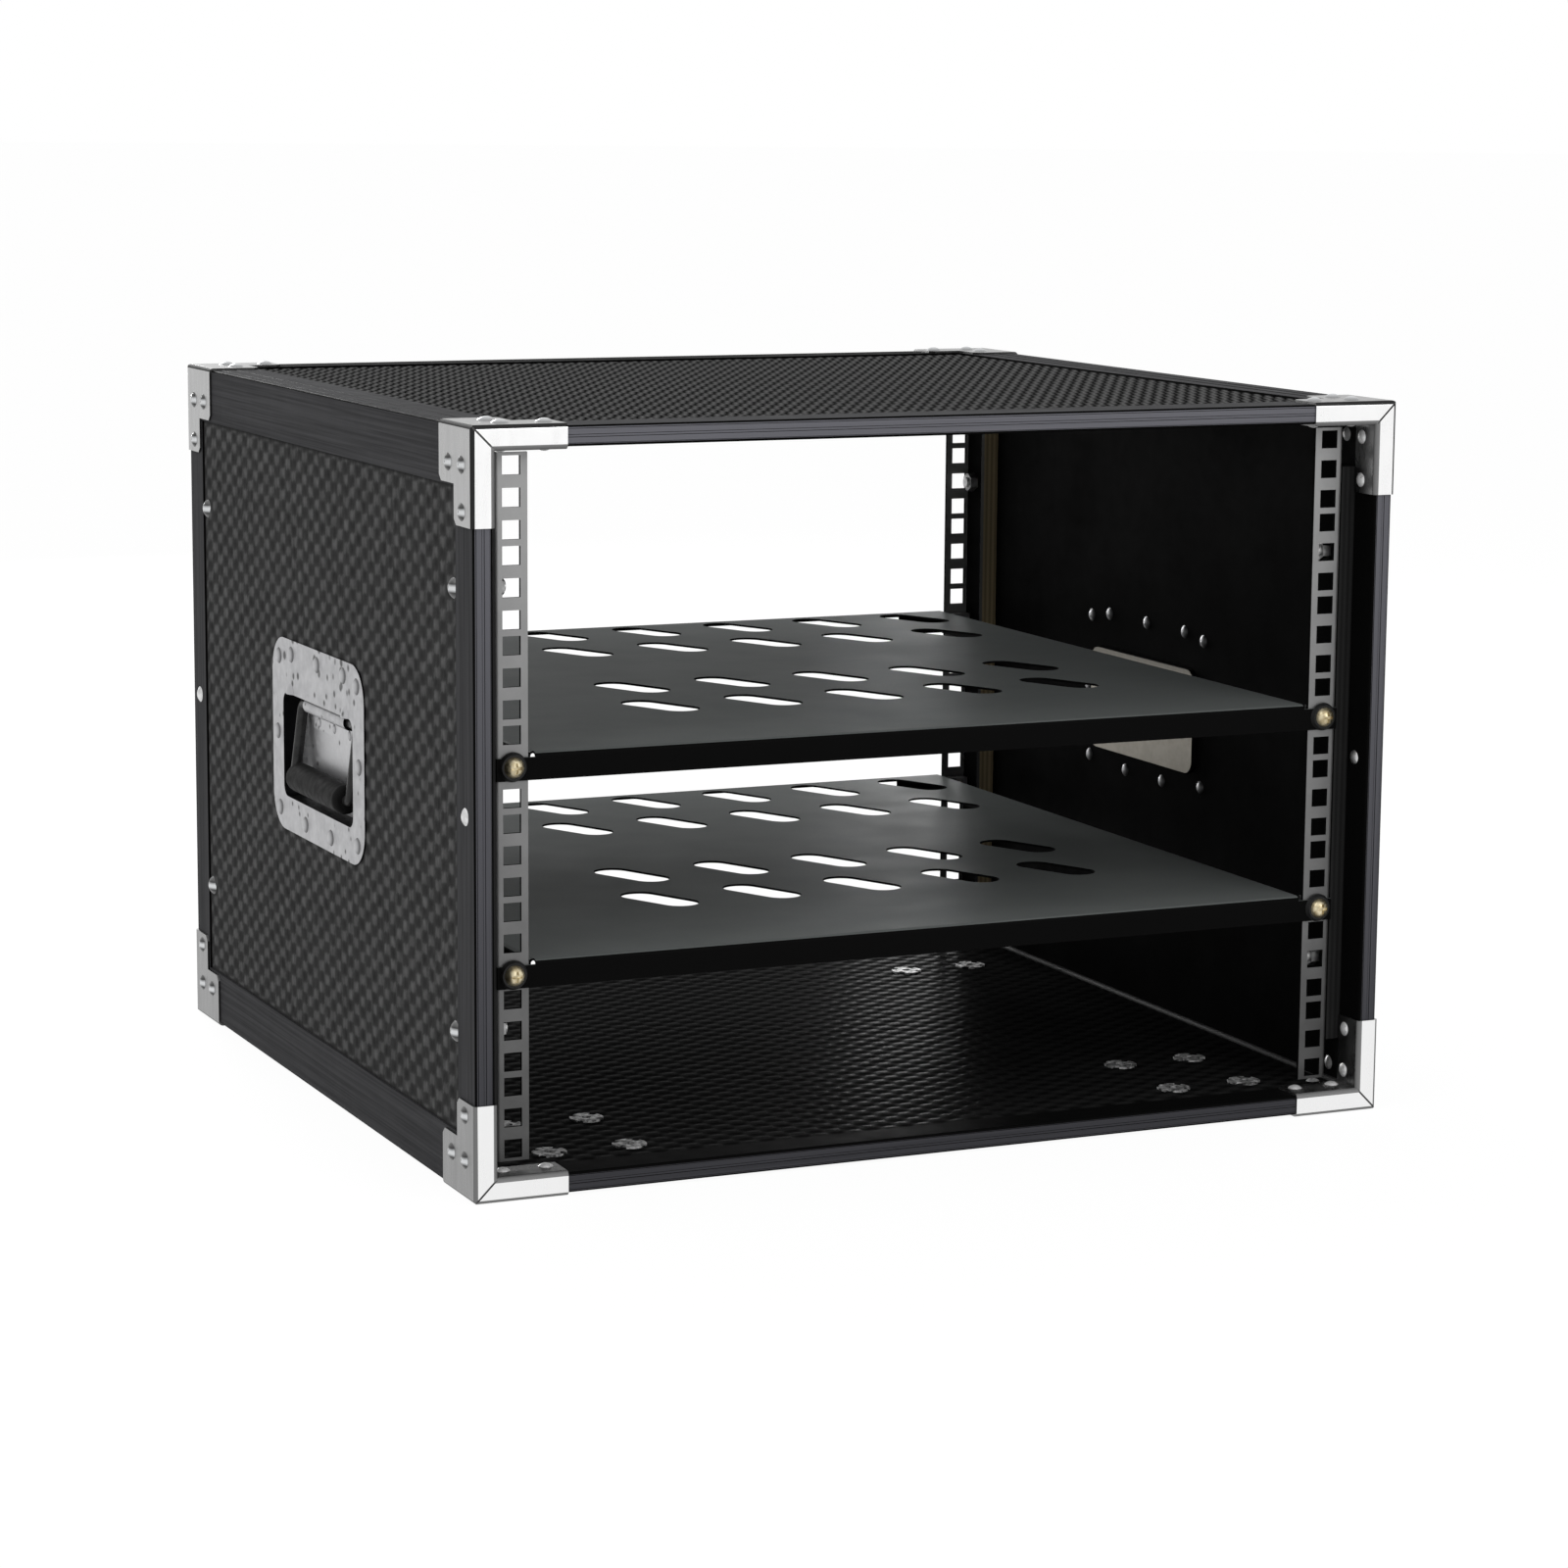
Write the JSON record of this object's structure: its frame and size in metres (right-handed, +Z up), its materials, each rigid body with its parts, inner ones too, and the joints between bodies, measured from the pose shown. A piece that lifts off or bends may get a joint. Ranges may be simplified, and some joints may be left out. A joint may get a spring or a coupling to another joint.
{
  "type": "rack mount case",
  "caption": "Open rack mount case for 19 inch equipment, with edged plywood panels, corner fittings, square-hole rails, vented shelves and swinging recessed side handles.",
  "frame": {"origin": "centre of the underside, on the surface that the case stands on", "axes": "+X to the right seen from the front, +Y from the front opening to the rear, +Z up"},
  "size_m": [0.53, 0.483, 0.3878],
  "materials": {
    "panel": "embossed black laminate on plywood",
    "edging": "dark anodised, fine lengthwise grooves",
    "corner": "bright plated steel",
    "rail": "grey zinc, satin",
    "spacer": "bare and black-stained plywood",
    "shelf": "dark grey powder coat",
    "handle_plate": "zinc plated",
    "bail": "zinc plated rod",
    "grip": "matt black",
    "rivet": "bright zinc",
    "nut": "zinc",
    "screw": "yellow zinc",
    "washer": "black nylon"
  },
  "bodies": {
    "case": {"left_panel": "panel", "right_panel": "panel", "top_panel": "panel", "bottom_panel": "panel", "angle_top_left": "edging", "angle_top_right": "edging", "angle_bottom_left": "edging", "angle_bottom_right": "edging", "edging_front_left": "edging", "edging_front_right": "edging", "edging_front_top": "edging", "edging_front_bottom": "edging", "edging_rear_left": "edging", "edging_rear_right": "edging", "edging_rear_top": "edging", "edging_rear_bottom": "edging", "corner_front_bottom_left": "corner", "corner_front_bottom_right": "corner", "corner_front_top_left": "corner", "corner_front_top_right": "corner", "corner_rear_bottom_left": "corner", "corner_rear_bottom_right": "corner", "corner_rear_top_left": "corner", "corner_rear_top_right": "corner", "rail_front_left": "rail", "rail_front_right": "rail", "rail_rear_left": "rail", "rail_rear_right": "rail", "spacer_front_left": "spacer", "spacer_front_right": "spacer", "spacer_rear_left": "spacer", "spacer_rear_right": "spacer", "upper_shelf": "shelf", "lower_shelf": "shelf", "left_handle_dish": "handle_plate", "right_handle_dish": "handle_plate", "left_handle_retainer": "handle_plate", "right_handle_retainer": "handle_plate", "left_handle_rivets": "rivet", "right_handle_rivets": "rivet", "corner_rivets": "rivet", "base_rivets": "rivet", "edging_rivets": "rivet", "rail_bolts": "rivet", "rail_nuts": "nut", "cage_nuts": "nut", "caster_tee_nuts": "nut", "shelf_screws": "screw", "cup_washers": "washer"},
    "left_handle_loop": {"left_handle_bail": "bail", "left_handle_grip": "grip"},
    "right_handle_loop": {"right_handle_bail": "bail", "right_handle_grip": "grip"}
  },
  "joints": [
    {"name": "left_handle_swing", "type": "hinge", "parent": "case", "child": "left_handle_loop", "pos_m": [-0.25205, 0.006, 0.2115], "axis": [0, 1, 0], "range_deg": [0, 83]},
    {"name": "right_handle_swing", "type": "hinge", "parent": "case", "child": "right_handle_loop", "pos_m": [0.25205, 0.006, 0.2115], "axis": [0, -1, 0], "range_deg": [0, 83]}
  ]
}
